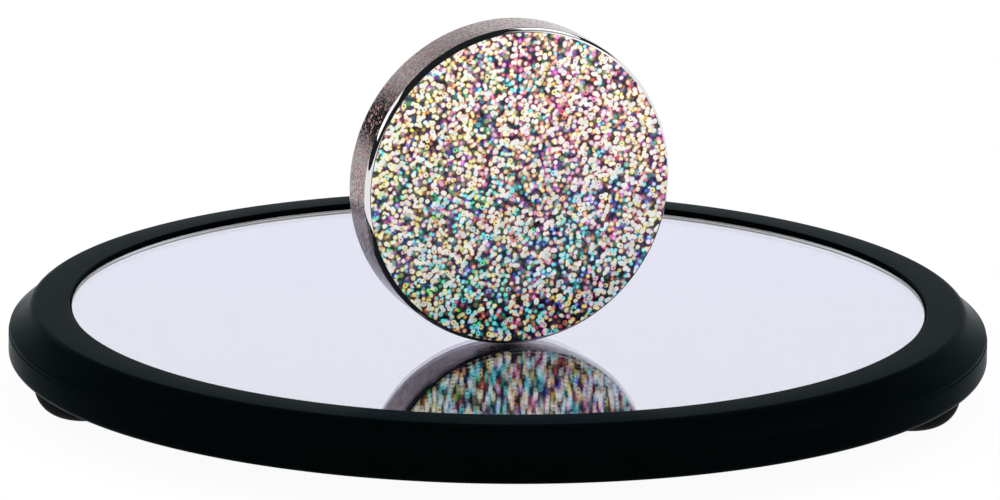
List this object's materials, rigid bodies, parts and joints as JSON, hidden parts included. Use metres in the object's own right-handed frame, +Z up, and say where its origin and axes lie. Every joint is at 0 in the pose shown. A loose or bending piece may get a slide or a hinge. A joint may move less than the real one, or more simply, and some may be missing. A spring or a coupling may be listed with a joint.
{
  "type": "spinning disk toy with dished mirror base",
  "caption": "Heavy chromed disk that spins and rolls on its rim on a hollow round mirror in a black ring base with feet; sparkling foil clings to one face.",
  "frame": {"origin": "centre of the base, on the plane the three feet stand on", "axes": "+Z up; -Y towards the user; +X to the user's right; the disk stands in front of the centre with its foil turned 20.5 degrees from -Y towards +X"},
  "size_m": [0.232, 0.232, 0.0941],
  "materials": {
    "bezel_plastic": "black moulded plastic, semi-gloss",
    "tray_plastic": "black moulded plastic, semi-gloss",
    "mirror_glass": "clear polished glass, slightly hollow",
    "silvering": "silvered back of the glass, grey paint behind",
    "white_foam": "soft adhesive foam tape",
    "grey_foam": "soft foam",
    "screw_steel": "zinc-plated steel",
    "foot_rubber": "black rubber, satin",
    "chrome_plate": "polished chrome plate on steel",
    "magnetic_rubber": "flexible magnetic sheet, dull",
    "holographic_film": "metallised film with overlapping round sparkling dots that shift colour"
  },
  "bodies": {
    "base": {"bezel": "bezel_plastic", "tray": "tray_plastic", "mirror_glass": "mirror_glass", "mirror_silvering": "silvering", "mirror_tape": "white_foam", "centre_pad": "grey_foam", "tray_screws": "screw_steel", "foot_right": "foot_rubber", "foot_rear": "foot_rubber", "foot_left": "foot_rubber"},
    "disk": {"disk": "chrome_plate"},
    "foil": {"magnet_sheet": "magnetic_rubber", "holographic_film": "holographic_film"}
  },
  "joints": [
    {"name": "disk_spin", "type": "hinge", "parent": "base", "child": "disk", "pos_m": [0.0024, -0.0198, 0.01761], "axis": [-0.0036, 0.0096, 0.9999], "continuous": true},
    {"name": "foil_pull", "type": "slide", "parent": "disk", "child": "foil", "axis": [0.3502, -0.9366, 0.0102], "range_m": [0, 0.02]}
  ]
}
